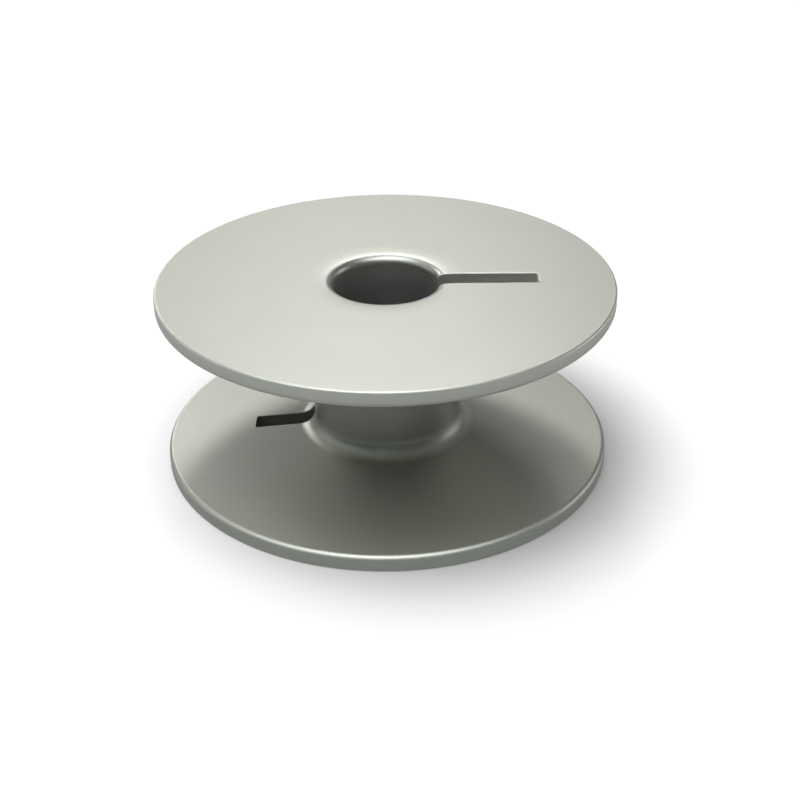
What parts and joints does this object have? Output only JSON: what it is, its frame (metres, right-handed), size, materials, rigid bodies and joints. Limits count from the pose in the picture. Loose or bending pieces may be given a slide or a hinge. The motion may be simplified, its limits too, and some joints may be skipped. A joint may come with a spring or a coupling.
{
  "type": "sewing machine bobbin",
  "caption": "Turned aluminium bobbin: a hollow hub between two tapered round flanges, each with a narrow thread slot that opens into the bore. Holds the lower thread of a sewing machine.",
  "frame": {"origin": "on the bore axis, at the outer face of the lower flange", "axes": "+Z along the bore, from the lower flange to the upper one; +X along the thread slot of the upper flange"},
  "size_m": [0.026, 0.026, 0.0108],
  "materials": {
    "turned_aluminium": "satin, fine turned"
  },
  "bodies": {
    "root": {"bobbin": "turned_aluminium"}
  },
  "joints": []
}
